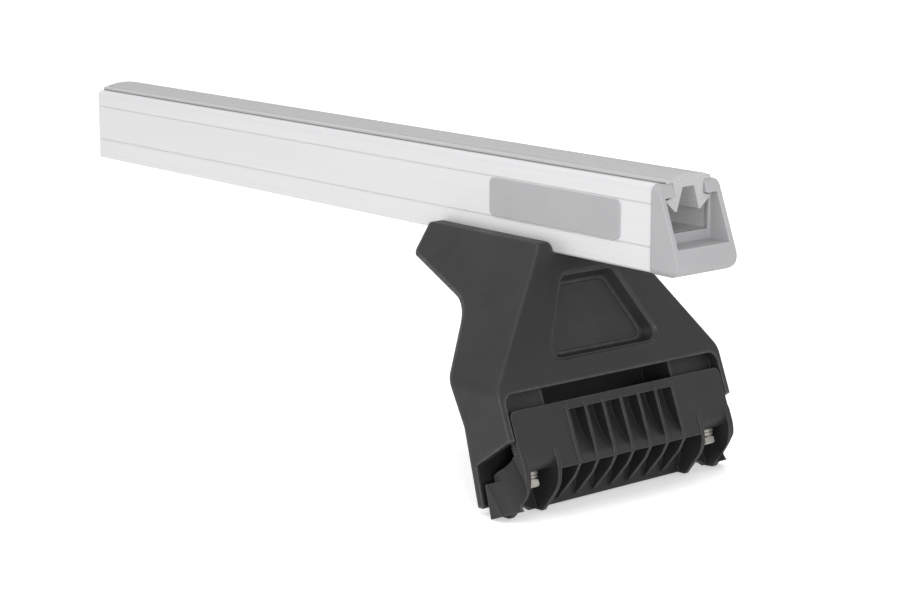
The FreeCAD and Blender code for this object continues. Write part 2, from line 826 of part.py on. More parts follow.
def jaw_arch(side):
    """Arch in the foot of the jaw that lets a socket on to the bolt."""
    centre = sloped(jaw_blade_foot - arch_rise + arch_radius, 0, side * clamp_bolt_spread)
    return Part.makeCylinder(arch_radius, beyond, centre, inward)


def jaw_ear():
    """Thick end of the blade on the positive side, from which the scoop leaves a flare."""
    flare = leg_half + jaw_blade_overlap - jaw_half
    reach = math.sqrt(scoop_radius ** 2 - (scoop_radius - scoop_depth - flare) ** 2)
    corners = [
        (jaw_blade_top, jaw_blade_depth(jaw_blade_top), 0.5),
        (jaw_blade_top, jaw_blade_depth(jaw_blade_top, jaw_blade_edge + reach)),
        (jaw_blade_foot, jaw_blade_depth(jaw_blade_foot, ear_base + reach)),
        (jaw_blade_foot, jaw_blade_depth(jaw_blade_foot), 0.5),
    ]
    ear = sloped_across(corners, jaw_half - end_wall / 2, leg_half + jaw_blade_overlap)
    axis_across = jaw_half - scoop_depth + scoop_radius
    top = sloped(jaw_blade_top, jaw_blade_depth(jaw_blade_top, jaw_blade_edge + reach), axis_across)
    foot = sloped(jaw_blade_foot, jaw_blade_depth(jaw_blade_foot, ear_base + reach), axis_across)
    run = (foot - top).normalize()
    scoop = Part.makeCylinder(scoop_radius, beyond, top - run * (jaw_blade_top - roof_top), run)
    return ear, scoop


def clamp_jaw():
    """The jaw moulding: plate, pockets, vanes, walls, roofs over the bolts and gutter blade."""
    ear, scoop = jaw_ear()
    walls = [
        ear,
        sloped_across(jaw_wall_outline(), jaw_half - end_wall, jaw_half),
        sloped_across(jaw_wall_outline(), wall_inner - inner_wall, wall_inner),
        jaw_roof(),
    ]
    parts = [jaw_plate_solid(), jaw_block_solid(), jaw_shell(), jaw_blade()]
    parts += mirrored(walls)
    parts += [jaw_vane(y) for y in vane_places()]
    body = fused(parts)
    places = vane_places()
    cuts = [jaw_pocket(low + vane / 2, high - vane / 2) for low, high in zip(places, places[1:])]
    cuts += mirrored([scoop])
    for side in (-1, 1):
        cuts.append(clamp_post(side, clamp_hole / 2, roof_top - wall, roof_seat + clear))
        cuts.append(jaw_arch(side))
    return body.cut(cuts).removeSplitter()


# Fasteners


def crown_cutter(flats, height, base, axis):
    """Cone that turns the corners off the free end of a hexagon, whose face is at base."""
    tip = flats / 2 * crown_share
    return Part.makeCone(tip, tip + height * math.sqrt(3), height, base, axis)


def hex_bolt(base, axis, thread, length, head, flats, flat_towards):
    """Hexagon bolt whose head's seat is at base and whose shank runs along axis."""
    top = base - axis * head
    hexagonal = hexagon(flats, head, top, axis, flat_towards).common(crown_cutter(flats, head, top, axis))
    point = thread * point_share
    shank = Part.makeCylinder(thread / 2, length - point, base, axis)
    tip = Part.makeCone(thread / 2, thread / 2 - point, point, base + axis * (length - point), axis)
    return fused([hexagonal, shank, tip])


def hex_nut(base, axis, thread, height, flats, flat_towards):
    """Hexagon nut from base along axis, with its free face turned off."""
    block = hexagon(flats, height, base, axis, flat_towards)
    block = block.common(crown_cutter(flats, height, base + axis * height, -axis))
    bore = Part.makeCylinder(thread / 2 + thread_gap, height + 2 * clear, base - axis * clear, axis)
    return block.cut(bore)


def flat_washer(base, axis, thread, width, height):
    """Plain washer from base along axis."""
    ring = Part.makeCylinder(width / 2, height, base, axis)
    bore = Part.makeCylinder(thread / 2 + washer_gap, height + 2 * clear, base - axis * clear, axis)
    return ring.cut(bore)


def spring_washer(base, axis, thread, width, height, gap_towards):
    """Split washer, pressed flat, with its slanting gap towards gap_towards."""
    ring = flat_washer(base, axis, thread, width, height)
    beside = axis.cross(gap_towards)
    slit = height * slit_share
    corners = [
        base - axis * clear - beside * (slit + clear),
        base - axis * clear - beside * clear,
        base + axis * (height + clear) + beside * (slit + clear),
        base + axis * (height + clear) + beside * clear,
    ]
    gap = Part.Face(Part.makePolygon(corners + [corners[0]])).extrude(gap_towards * width)
    return ring.cut(gap)


def clamp_fasteners(side):
    """Bolt, washers and nut on one side of the jaw, by the last words of their names."""
    def at(drop):
        return sloped(drop, clamp_bolt_depth, side * clamp_bolt_spread)
    head_seat = roof_seat + clamp_washer + clamp_spring + thread_gap
    return {
        "flat_washer": flat_washer(at(roof_seat), down, clamp_thread, clamp_washer_width, clamp_washer),
        "spring_washer": spring_washer(
            at(roof_seat + clamp_washer), down, clamp_thread, clamp_spring_width, clamp_spring, -inward),
        "bolt": hex_bolt(
            at(head_seat), -down, clamp_thread, clamp_bolt_length, clamp_head, clamp_flats, inward),
        "nut": hex_nut(at(nut_seat), -down, clamp_thread, clamp_nut, clamp_flats, inward),
    }


def channel_fasteners(place):
    """Bolt, washers and nut that hold the bar to the deck, by the last words of their names."""
    x = channel_x(place)
    upward = Vector(0, 0, 1)
    sideways = Vector(0, 1, 0)
    head_seat = bar_floor + bolt_lip + channel_head_gap
    deck_foot = leg_height - deck
    spring_top = deck_foot - channel_washer
    nut_top = spring_top - channel_spring
    return {
        "bolt": hex_bolt(Vector(x, 0, head_seat), -upward, channel_thread, channel_bolt_length,
                         channel_head, channel_flats, sideways),
        "flat_washer": flat_washer(
            Vector(x, 0, deck_foot), -upward, channel_thread, channel_washer_width, channel_washer),
        "spring_washer": spring_washer(
            Vector(x, 0, spring_top), -upward, channel_thread, channel_spring_width, channel_spring,
            Vector(1, 0, 0)),
        "nut": hex_nut(Vector(x, 0, nut_top), -upward, channel_thread, channel_nut, channel_flats, sideways),
    }


def build_parts():
    """Every piece by its node's name."""
    parts = {
        "crossbar": crossbar(),
        "top_strip": top_strip(),
        "end_cap": end_cap(),
        "bar_label": bar_label(),
        "leg_body": leg_body(),
        "leg_badge": leg_badge(),
        "clamp_jaw": clamp_jaw(),
    }
    for name, side in (("left", -1), ("right", 1)):
        for kind, shape in clamp_fasteners(side).items():
            parts[name + "_clamp_" + kind] = shape
    for place in channel_bolt_setbacks:
        for kind, shape in channel_fasteners(place).items():
            parts[place + "_channel_" + kind] = shape
    return parts


os.makedirs("parts", exist_ok=True)
for node, shape in build_parts().items():
    solid = shape.Solids[0] if len(shape.Solids) == 1 else shape
    solid.exportStep("parts/" + node + ".step")
    box = solid.BoundBox
    print(node, len(shape.Solids), shape.isValid(), round(shape.Volume, 1),
          [round(value, 1) for value in (box.XMin, box.XMax, box.YMin, box.YMax, box.ZMin, box.ZMax)])
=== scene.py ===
"""A length of roof rack crossbar on its gutter-mount leg, dressed for a studio picture.

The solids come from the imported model. This file gives each one its finish, makes the
threaded bolts and the rounded clamp washers, and sets up the floor, the lamps and the
camera.
"""

import json
import math

import bmesh
import bpy
from bpy.props import FloatProperty, FloatVectorProperty, IntProperty, PointerProperty
from mathutils import Matrix, Vector


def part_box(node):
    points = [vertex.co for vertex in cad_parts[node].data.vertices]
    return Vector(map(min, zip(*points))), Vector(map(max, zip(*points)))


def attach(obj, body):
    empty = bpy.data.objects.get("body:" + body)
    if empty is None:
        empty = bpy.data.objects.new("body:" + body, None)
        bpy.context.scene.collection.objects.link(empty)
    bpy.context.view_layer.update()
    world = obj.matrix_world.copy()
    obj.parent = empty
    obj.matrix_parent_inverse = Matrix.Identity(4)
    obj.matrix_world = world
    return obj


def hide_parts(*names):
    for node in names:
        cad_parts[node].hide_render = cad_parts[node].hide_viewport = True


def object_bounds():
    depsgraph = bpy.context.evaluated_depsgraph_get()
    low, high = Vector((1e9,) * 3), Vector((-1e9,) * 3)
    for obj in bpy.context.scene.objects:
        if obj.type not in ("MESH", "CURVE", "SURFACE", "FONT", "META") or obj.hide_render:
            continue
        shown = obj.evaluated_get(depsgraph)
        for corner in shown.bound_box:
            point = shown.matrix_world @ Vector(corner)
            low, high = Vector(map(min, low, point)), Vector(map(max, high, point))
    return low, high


bl_info = {
    "name": "Gutter-mount roof rack",
    "version": (1, 0, 0),
    "blender": (4, 5, 0),
    "location": "3D View > Sidebar > Roof rack",
    "description": "Finishes, fasteners and studio for a roof rack leg and its crossbar",
    "category": "Object",
}

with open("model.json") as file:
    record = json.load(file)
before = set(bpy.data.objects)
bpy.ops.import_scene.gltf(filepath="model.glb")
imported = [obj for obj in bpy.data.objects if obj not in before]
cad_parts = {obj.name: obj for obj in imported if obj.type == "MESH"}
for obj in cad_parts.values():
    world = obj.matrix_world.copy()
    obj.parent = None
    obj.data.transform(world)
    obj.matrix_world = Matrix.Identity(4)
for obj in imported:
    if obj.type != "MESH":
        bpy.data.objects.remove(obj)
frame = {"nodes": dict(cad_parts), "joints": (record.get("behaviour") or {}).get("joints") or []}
CAD_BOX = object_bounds()

SIDES = ("left", "right")
PLACES = ("outer", "inner")
FASTENER_KINDS = ("flat_washer", "spring_washer", "bolt", "nut")

# Directions of the frame
OUTBOARD = Vector((1, 0, 0))
ALONG_GUTTER = Vector((0, 1, 0))
DOWN = Vector((0, 0, -1))

# Finishes
EXTRUDED_EDGE = 0.6  # softness of an extrusion's edges beside that of a moulding's
PLATED_EDGE = 0.00025  # radius that softens the fasteners' edges
NOISE_SPAN = (0.3, 0.7)  # holds most of a noise's values
# Painted shade in the strip's grooves, from how open each point is to the air above it
GROOVE_REACH = 0.0012  # distance within which the strip's grooves darken
GROOVE_SHADE = 0.45  # brightness of the rubber down in a groove
DEEP_GROOVE = 0.35  # share of rays that get out of a deep groove
UNDER_FLAT_FACE = 0.93  # share of rays that run free into the solid
UNDER_SHARP_EDGE = 0.6
BEVEL_SAMPLES = 6
RIM_SAMPLES = 10
GROOVE_SAMPLES = 8

# Sockets of a Mix node that mixes colours
MIX_FACTOR, MIX_FIRST, MIX_SECOND = 0, 6, 7
MIX_RESULT = 2

# Cut threads
THREAD_SHAPE = (0.0, 0.0, 0.35, 0.85, 1.0, 0.85, 0.35, 0.0)  # depth along one turn's rise
THREAD_DEPTH = 0.6134  # of the pitch
TIP_CHAMFER = 0.12  # of the thread's diameter

# Hexagon heads
SIDE_POINTS = 8  # along each side of the hexagon
TURNED_SHARE = 0.95  # of the width across flats, left level by the turning
CORNER_SLOPE = 1 / math.sqrt(3)  # fall of the turned corners
WASHER_FACE = 0.0003  # height of the round face under the head
DISH_DEPTH = 0.0002
DISH_SHARE = 0.86  # of the level top's width

# Rounded washers
WASHER_POINTS = 72
OUTER_BEND = 0.3  # of the washer's height
BORE_EASE = 0.3  # of the outer bend
BEND_STEPS = 4
SPRING_GAP = 0.4  # of the washer's height
SEAM = 1e-7  # points of a closed ring that lie this close become one

SMOOTH_AREA = 4e-7  # square metres; larger faces are shaded flat

# Studio
LAMPS = (  # name, place, target, side
    ("top", (-0.3, -0.2, 2.4), (-0.1, 0, 0.08), 2.0),
    ("key", (0.2, -2.0, 1.0), (0, 0, 0.08), 1.6),
    ("front", (1.9, -1.25, 0.42), (0, 0, 0.08), 0.6),
)
FLOOR_REACH = 12.0
FLOOR_DROP = 0.0002  # below the leg's lowest point
NEAREST_VIEW = 0.01
WHITE = (1, 1, 1, 1)


# Settings


def colour_setting(name, description, default):
    """A colour that the panel shows."""
    return FloatVectorProperty(
        name=name, description=description, default=default, subtype="COLOR", min=0, max=1)


def length_setting(name, description, default):
    """A length in metres that the panel shows."""
    return FloatProperty(
        name=name, description=description, default=default,
        subtype="DISTANCE", unit="LENGTH", precision=5)


def light_setting(name, description, default):
    """A strength of light, where one is white."""
    return FloatProperty(name=name, description=description, default=default, min=0)


def power_setting(name, description, default):
    """A lamp's power in watts."""
    return FloatProperty(name=name, description=description, default=default, subtype="POWER")


class RackFinishes(bpy.types.PropertyGroup):
    """Colours and surface detail of the rack's pieces."""

    silver: colour_setting("Silver", "Anodised face of the crossbar", (0.66, 0.66, 0.67))
    silver_streak: colour_setting("Silver streak", "Drawing lines along the crossbar", (0.61, 0.61, 0.62))
    rubber: colour_setting("Rubber", "Strip in the upper channel", (0.44, 0.44, 0.445))
    rubber_dust: colour_setting("Rubber dust", "Paler drawing lines of the strip", (0.49, 0.49, 0.495))
    cap: colour_setting("Cap", "End cap", (0.36, 0.36, 0.368))
    label: colour_setting("Label", "Bare plate on the crossbar", (0.36, 0.36, 0.368))
    nylon: colour_setting("Nylon", "Leg and jaw mouldings", (0.0120, 0.0118, 0.0129))
    # Painted highlight: a paler colour laid along the mouldings' outer edges
    nylon_highlight: colour_setting("Pale nylon", "Highlighted edges of the mouldings", (0.075, 0.075, 0.079))
    badge: colour_setting("Badge", "Bare plate in the leg", (0.018, 0.018, 0.019))
    zinc: colour_setting("Zinc", "Plated fasteners", (0.42, 0.41, 0.37))
    zinc_dull: colour_setting("Dull zinc", "Duller patches of the plating", (0.32, 0.31, 0.28))
    edge: length_setting("Soft edge", "Radius that softens the moulded edges", 0.0007)
    # Widths of the painted highlights along the outer edges of the leg, the jaw, the cap and the plates
    leg_rim: length_setting("Leg's rubbed edge", "Width of the paler edges of the leg", 0.0019)
    jaw_rim: length_setting("Jaw's rubbed edge", "Width of the paler edges of the jaw and the cap", 0.0005)
    plate_rim: length_setting("Plate's rubbed edge", "Width of the paler edges of the bare plates", 0.0004)
    grain: length_setting("Grain", "Size of the mouldings' fine grain", 0.0006)


class RackFasteners(bpy.types.PropertyGroup):
    """Sizes of the bolts and washers that are made here."""

    clamp_thread: length_setting("Clamp thread", "Diameter of the clamp bolts", 0.006)
    clamp_pitch: length_setting("Clamp pitch", "Rise of the clamp bolts in one turn", 0.001)
    clamp_length: length_setting("Clamp length", "Length of the clamp bolts under the head", 0.045)
    clamp_head: length_setting("Clamp head", "Height of the clamp bolts' heads", 0.004)
    clamp_flats: length_setting("Clamp flats", "Clamp bolts across the flats", 0.010)
    channel_thread: length_setting("Channel thread", "Diameter of the channel bolts", 0.006)
    channel_pitch: length_setting("Channel pitch", "Rise of the channel bolts in one turn", 0.001)
    channel_length: length_setting("Channel length", "Length of the channel bolts under the head", 0.020)
    channel_head: length_setting("Channel head", "Height of the channel bolts' heads", 0.004)
    channel_flats: length_setting("Channel flats", "Channel bolts across the flats", 0.010)
    washer_width: length_setting("Flat washer", "Width of the clamp's flat washers", 0.012)
    spring_width: length_setting("Spring washer", "Width of the clamp's split washers", 0.011)
    washer_height: length_setting("Washer height", "Thickness of the clamp's washers", 0.0016)
    washer_bore: length_setting("Washer bore", "Hole of the clamp's washers", 0.0064)
    seat_gap: length_setting("Seat gap", "Between a bolt's head and its washer", 0.00006)
    segments: IntProperty(name="Segments", description="Points round a thread", default=30, min=12, max=96)


class RackStudio(bpy.types.PropertyGroup):
    """Floor, lamps and camera."""

    floor: colour_setting("Floor", "Pale floor", (0.90, 0.90, 0.90))
    glow: light_setting("Glow", "Light of the floor's own, where it is seen or reflected", 0.42)
    sky: light_setting("Sky", "Plain light from all round", 0.62)
    top_power: power_setting("Top", "Large lamp overhead", 22.0)
    key_power: power_setting("Key", "Large lamp on the label's side", 8.0)
    front_power: power_setting("Front", "Lamp beside the camera", 26.0)
    eye: FloatVectorProperty(
        name="Eye", description="Place of the camera", default=(0.7455, -0.716, 0.305),
        subtype="TRANSLATION")
    sight: FloatVectorProperty(
        name="Sight", description="Direction of the camera", default=(-0.7495, 0.629, -0.2067),
        subtype="DIRECTION")
    lens: FloatProperty(name="Lens", description="Focal length in millimetres", default=90.3, min=10)


# Materials


def scaled(colour, gain):
    """A colour made lighter, or darker with a gain below one."""
    return [min(1, value * gain) for value in colour]


class Surface:
    """A node material, built up from its shader."""

    def __init__(self, name, colour, roughness, metallic=0.0, specular=0.5):
        self.material = bpy.data.materials.new(name)
        self.material.use_nodes = True
        self.tree = self.material.node_tree
        self.shader = self.tree.nodes["Principled BSDF"]
        self.shader.inputs["Base Color"].default_value = (*colour, 1)
        self.shader.inputs["Roughness"].default_value = roughness
        self.shader.inputs["Metallic"].default_value = metallic
        self.shader.inputs["Specular IOR Level"].default_value = specular
        self.normal = None

    def node(self, kind, **inputs):
        """New node of a kind, with values or other nodes' outputs on its inputs."""
        made = self.tree.nodes.new("ShaderNode" + kind)
        for name, value in inputs.items():
            self.feed(value, made.inputs[name.replace("_", " ")])
        return made

    def feed(self, value, socket):
        """Puts a value or an output on an input."""
        if isinstance(value, bpy.types.NodeSocket):
            self.tree.links.new(value, socket)
        else:
            socket.default_value = value

    def noise(self, size, detail, stretch=(1, 1, 1)):
        """Noise with features about size metres across, in the object's own coordinates."""
        place = self.node("Mapping", Vector=self.node("TexCoord").outputs["Object"], Scale=stretch)
        made = self.node("TexNoise", Vector=place.outputs["Vector"], Scale=1 / size, Detail=detail)
        return made.outputs["Fac"]

    def ramp(self, factor, across, to=(0.0, 1.0)):
        """A factor, with its values across a span stretched to another span."""
        made = self.node("MapRange", Value=factor)
        for name, value in zip(("From Min", "From Max", "To Min", "To Max"), (*across, *to)):
            made.inputs[name].default_value = value
        return made.outputs["Result"]

    def product(self, first, second):
        """Two factors multiplied."""
        made = self.node("Math")
        made.operation = "MULTIPLY"
        self.feed(first, made.inputs[0])
        self.feed(second, made.inputs[1])
        return made.outputs[0]

    def mix(self, factor, first, second):
        """Colour between two, by a factor."""
        made = self.node("Mix")
        made.data_type = "RGBA"
        self.feed(factor, made.inputs[MIX_FACTOR])
        for value, index in ((first, MIX_FIRST), (second, MIX_SECOND)):
            colour = value if isinstance(value, bpy.types.NodeSocket) else (*value, 1)
            self.feed(colour, made.inputs[index])
        return made.outputs[MIX_RESULT]

    def soften(self, radius):
        """Rounds the edges in the shading."""
        made = self.node("Bevel", Radius=radius)
        made.samples = BEVEL_SAMPLES
        self.normal = made.outputs["Normal"]

    def rim(self, distance):
        """How far each point lies on an outer edge, from the solid's thickness under it."""
        made = self.node("AmbientOcclusion", Distance=distance)
        made.inside = True
        made.only_local = True
        made.samples = RIM_SAMPLES
        return self.ramp(made.outputs["AO"], across=(UNDER_FLAT_FACE, UNDER_SHARP_EDGE))

    def openness(self, distance):
        """How open each point is to the air close above it."""
        made = self.node("AmbientOcclusion", Distance=distance)
        made.samples = GROOVE_SAMPLES
        return self.ramp(made.outputs["AO"], across=(DEEP_GROOVE, 1.0))

    def bump(self, height, strength, distance):
        """Adds relief to the surface."""
        made = self.node("Bump", Height=height, Strength=strength, Distance=distance)
        if self.normal:
            self.feed(self.normal, made.inputs["Normal"])
        self.normal = made.outputs["Normal"]

    def done(self, colour, roughness=None):
        """Joins up the shader and gives the material."""
        self.feed(colour, self.shader.inputs["Base Color"])
        if roughness:
            self.feed(roughness, self.shader.inputs["Roughness"])
        if self.normal:
            self.feed(self.normal, self.shader.inputs["Normal"])
        return self.material


def moulded_nylon(name, body, finishes, rim):
    """Black glass-filled nylon with a fine grain, and a painted highlight along its outer edges."""
    surface = Surface(name, body, roughness=0.5, specular=0.36)
    surface.soften(finishes.edge)
    # Painted highlight: lighter colour along the outer edges, its strength varying in patches
    highlight_strength = surface.ramp(surface.noise(size=0.004, detail=6), across=NOISE_SPAN, to=(0.25, 0.85))
    highlighted = surface.product(surface.rim(rim), highlight_strength)
    cloud = surface.ramp(surface.noise(size=0.03, detail=3), across=(0.35, 0.65))
    colour = surface.mix(highlighted, surface.mix(cloud, body, scaled(body, gain=1.28)), finishes.nylon_highlight)
    surface.bump(surface.noise(finishes.grain, detail=5), strength=0.32, distance=0.00018)
    rough = surface.ramp(surface.noise(size=0.012, detail=4), across=NOISE_SPAN, to=(0.44, 0.58))
    return surface.done(colour, rough)


def anodised_aluminium(name, finishes):
    """Satin silver extrusion with fine drawing lines along the bar."""
    surface = Surface(name, finishes.silver, roughness=0.38, metallic=0.3)
    surface.soften(finishes.edge * EXTRUDED_EDGE)
    lines = surface.noise(size=0.0011, detail=5, stretch=(0.012, 1, 1))
    bands = surface.noise(size=0.014, detail=3, stretch=(0.05, 1, 1))
    line_share = surface.ramp(lines, across=(0.4, 0.75), to=(0, 0.4))
    band_share = surface.ramp(bands, across=(0.4, 0.7), to=(0, 0.25))
    streaks = surface.mix(line_share, finishes.silver, finishes.silver_streak)
    colour = surface.mix(band_share, streaks, finishes.silver_streak)
    surface.bump(lines, strength=0.07, distance=0.00012)
    rough = surface.ramp(lines, across=NOISE_SPAN, to=(0.34, 0.46))
    return surface.done(colour, rough)


def extruded_rubber(name, finishes):
    """Matt grey rubber with faint extrusion lines, and painted shade in its grooves."""
    surface = Surface(name, finishes.rubber, roughness=0.75, specular=0.3)
    surface.soften(finishes.edge * EXTRUDED_EDGE)
    lines = surface.noise(size=0.0012, detail=4, stretch=(0.006, 1, 1))
    drawn = surface.mix(surface.ramp(lines, across=(0.35, 0.7)), finishes.rubber, finishes.rubber_dust)
    # Painted shade: the rubber is darkened where little open air lies close above it, in the grooves
    dark = scaled(finishes.rubber, GROOVE_SHADE)
    colour = surface.mix(surface.openness(GROOVE_REACH), dark, drawn)
    surface.bump(lines, strength=0.15, distance=0.0001)
    surface.bump(surface.noise(size=0.0005, detail=3), strength=0.12, distance=0.0001)
    rough = surface.ramp(lines, across=NOISE_SPAN, to=(0.68, 0.82))
    return surface.done(colour, rough)


def grey_plastic(name, body, finishes, rim, grain, rough):
    """Grey moulding or plate with a fine grain and a painted highlight along its outer edges, its roughness
    in a span.
    """
    surface = Surface(name, body, roughness=0.5, specular=0.4)
    surface.soften(finishes.edge)
    cloud = surface.noise(size=0.02, detail=4)
    cloud_share = surface.ramp(cloud, across=(0.35, 0.65), to=(0, 0.5))
    tint = surface.mix(cloud_share, body, scaled(body, gain=1.12))
    # Painted highlight: lighter colour along the outer edges
    colour = surface.mix(surface.rim(rim), tint, scaled(body, gain=1.25))
    surface.bump(surface.noise(grain, detail=4), strength=0.22, distance=0.0001)
    return surface.done(colour, surface.ramp(cloud, across=NOISE_SPAN, to=rough))


def zinc_plate(name, finishes):
    """Warm silver plating with dull patches and fine turning marks."""
    surface = Surface(name, finishes.zinc, roughness=0.32, metallic=0.6)
    surface.soften(PLATED_EDGE)
    patches = surface.noise(size=0.0025, detail=5)
    colour = surface.mix(surface.ramp(patches, across=(0.35, 0.7)), finishes.zinc, finishes.zinc_dull)
    surface.bump(surface.noise(size=0.0004, detail=4), strength=0.18, distance=0.00006)
    rough = surface.ramp(patches, across=NOISE_SPAN, to=(0.24, 0.44))
    return surface.done(colour, rough)


def dress(node, material):
    """Gives a node of the frame its material."""
    thing = frame["nodes"][node]
    thing.data.materials.clear()
    thing.data.materials.append(material)


# Bolts and washers


def round_point(mesh, radius, turn, height):
    """New point at a radius from the Z axis, an angle round it and a height."""
    return mesh.verts.new((radius * math.cos(turn), radius * math.sin(turn), height))


def join_rings(mesh, first, second):
    """Faces all round between two rings of points."""
    for index in range(len(first)):
        after = (index + 1) % len(first)
        mesh.faces.new((first[index], second[index], second[after], first[after]))


def ring_edges(mesh, ring):
    """Edges that run round a ring of points."""
    return [mesh.edges.get((ring[index - 1], ring[index])) for index in range(len(ring))]


def finished(mesh, name):
    """Turns the worked points and faces into a mesh of that name."""
    made = bpy.data.meshes.new(name)
    mesh.to_mesh(made)
    mesh.free()
    return made


def thread_radius(thread, pitch, length, height, share):
    """Radius of a cut thread at a height and a share of the turn, chamfered at the tip."""
    count = len(THREAD_SHAPE)
    phase = (height / pitch - share) % 1.0 * count
    low = int(phase) % count
    between = phase - int(phase)
    sunk = THREAD_SHAPE[low] * (1 - between) + THREAD_SHAPE[(low + 1) % count] * between
    radius = thread / 2 - THREAD_DEPTH * pitch * sunk
    return min(radius, thread / 2 - thread * TIP_CHAMFER + max(0.0, length - height))


def bolt_mesh(name, thread, pitch, length, head, flats, segments):
    """Hexagon bolt along +Z from the seat of its head at zero, with a cut thread."""
    mesh = bmesh.new()
    rows = int(length / pitch * len(THREAD_SHAPE))
    rings = []
    for row in range(rows + 1):
        height = length * row / rows
        ring = []
        for step in range(segments):
            radius = thread_radius(thread, pitch, length, height, step / segments)
            ring.append(round_point(mesh, radius, 2 * math.pi * step / segments, height))
        rings.append(ring)
    for lower, upper in zip(rings, rings[1:]):
        for step in range(segments):
            after = (step + 1) % segments
            mesh.faces.new((lower[step], lower[after], upper[after], upper[step]))
    mesh.faces.new(rings[-1])
    add_hexagon_head(mesh, head, flats, rings[0])
    mesh.normal_update()
    return finished(mesh, name)


def hexagon_radius(flats, turn):
    """Distance from the axis to a hexagon's side, at an angle."""
    side = math.pi / 3
    from_middle = abs((turn + side / 2) % side - side / 2)
    return flats / 2 / math.cos(side / 2 - from_middle)


def add_hexagon_head(mesh, head, flats, seat_ring):
    """Head below zero: washer face, flats with turned corners and a dished top."""
    count = 6 * SIDE_POINTS
    turns = [2 * math.pi * step / count for step in range(count)]
    level = flats / 2 * TURNED_SHARE
    outer = [hexagon_radius(flats, turn) for turn in turns]
    falls = [max(0.0, radius - level) * CORNER_SLOPE for radius in outer]
    outlines = (
        ([level] * count, [0.0] * count),
        ([level] * count, [-WASHER_FACE] * count),
        (outer, [-fall - WASHER_FACE for fall in falls]),
        (outer, [fall - head for fall in falls]),
        ([level] * count, [-head] * count),
        ([level * DISH_SHARE] * count, [DISH_DEPTH - head] * count),
    )
    rings = []
    for radii, heights in outlines:
        rings.append([round_point(mesh, *point) for point in zip(radii, turns, heights)])
    for first, second in zip(rings, rings[1:]):
        join_rings(mesh, first, second)
    mesh.faces.new(list(reversed(rings[-1])))
    bmesh.ops.bridge_loops(mesh, edges=ring_edges(mesh, rings[0]) + ring_edges(mesh, seat_ring))


def washer_profile(width, bore, height):
    """Half section of a washer as radii and heights, with a rounded outer edge."""
    bend = height * OUTER_BEND
    ease = bend * BORE_EASE
    profile = [(bore / 2, height - ease), (bore / 2, ease)]
    turns = [math.pi / 2 * step / BEND_STEPS for step in range(BEND_STEPS + 1)]
    for turn in turns:
        profile.append((width / 2 - bend + bend * math.sin(turn), bend - bend * math.cos(turn)))
    for turn in turns:
        profile.append((width / 2 - bend + bend * math.cos(turn), height - bend + bend * math.sin(turn)))
    return profile


def washer_mesh(name, width, bore, height, split):
    """Washer along +Z from zero, with a slanting gap at -X if it is split."""
    mesh = bmesh.new()
    profile = washer_profile(width, bore, height)
    gap = split / width * 2
    rings = []
    for step in range(WASHER_POINTS + 1):
        turn = -math.pi + gap / 2 + (2 * math.pi - gap) * step / WASHER_POINTS
        ring = []
        for radius, level in profile:
            slant = gap * (level / height - 0.5)
            ring.append(round_point(mesh, radius, turn + slant, level))
        rings.append(ring)
    for first, second in zip(rings, rings[1:]):
        join_rings(mesh, first, second)
    if split:
        mesh.faces.new(rings[0])
        mesh.faces.new(list(reversed(rings[-1])))
    else:
        bmesh.ops.remove_doubles(mesh, verts=mesh.verts, dist=SEAM)
    bmesh.ops.recalc_face_normals(mesh, faces=mesh.faces)
    return finished(mesh, name)


def put_fastener(name, mesh, seat, axis, across, body, node, material):
    """Places a bolt or washer with its seat at a point and its +Z along axis, for its solid."""
    turned = Matrix((across, axis.cross(across), axis)).transposed().to_4x4()
    mesh.transform(Matrix.Translation(seat) @ turned)
    fastener = bpy.data.objects.new(name, mesh)
    bpy.context.scene.collection.objects.link(fastener)
    mesh.materials.append(material)
    for polygon in mesh.polygons:
        polygon.use_smooth = polygon.area < SMOOTH_AREA
    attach(fastener, body)
    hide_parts(node)


def put_clamp_fasteners(side, sizes, zinc):
    """Makes one clamp bolt and its two washers, in line with the bolt's joint."""
    turn = next(joint for joint in frame["joints"] if joint["name"] == side + "_bolt_turn")
    seat = Vector(turn["pos_m"])
    axis = Vector(turn["axis"]).normalized()
    inward = ALONG_GUTTER.cross(axis)
    height = sizes.washer_height
    stack = (  # kind, width, gap, height above the bolt's seat
        ("spring_washer", sizes.spring_width, height * SPRING_GAP, sizes.seat_gap),
        ("flat_washer", sizes.washer_width, 0.0, sizes.seat_gap + height),
    )
    for kind, width, split, rise in stack:
        node = f"{side}_clamp_{kind}"
        mesh = washer_mesh(node + "_rounded", width, sizes.washer_bore, height, split)
        put_fastener(node + "_rounded", mesh, seat + axis * rise, axis, inward, "jaw", node, zinc)
    node = side + "_clamp_bolt"
    mesh = bolt_mesh(node + "_threaded", sizes.clamp_thread, sizes.clamp_pitch,
                     sizes.clamp_length, sizes.clamp_head, sizes.clamp_flats, sizes.segments)
    put_fastener(node + "_threaded", mesh, seat, axis, ALONG_GUTTER, side + "_bolt", node, zinc)


def put_channel_bolt(place, sizes, zinc):
    """Makes one bolt of the bar's lower channel, in the place of its solid."""
    node = place + "_channel_bolt"
    low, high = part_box(node)
    seat = Vector(((low.x + high.x) / 2, (low.y + high.y) / 2, high.z - sizes.channel_head))
    mesh = bolt_mesh(node + "_threaded", sizes.channel_thread, sizes.channel_pitch,
                     sizes.channel_length, sizes.channel_head, sizes.channel_flats, sizes.segments)
    put_fastener(node + "_threaded", mesh, seat, DOWN, OUTBOARD, "leg", node, zinc)


# Studio


def aimed(thing, place, sight):
    """Puts a lamp or the camera at a place, looking along sight."""
    thing.location = place
    thing.rotation_euler = Vector(sight).to_track_quat("-Z", "Y").to_euler()


def soft_lamp(name, place, target, side, power):
    """A large square lamp that looks at a target."""
    lamp = bpy.data.lights.new(name, "AREA")
    lamp.size = side
    lamp.energy = power
    thing = bpy.data.objects.new(name, lamp)
    bpy.context.scene.collection.objects.link(thing)
    aimed(thing, place, Vector(target) - Vector(place))


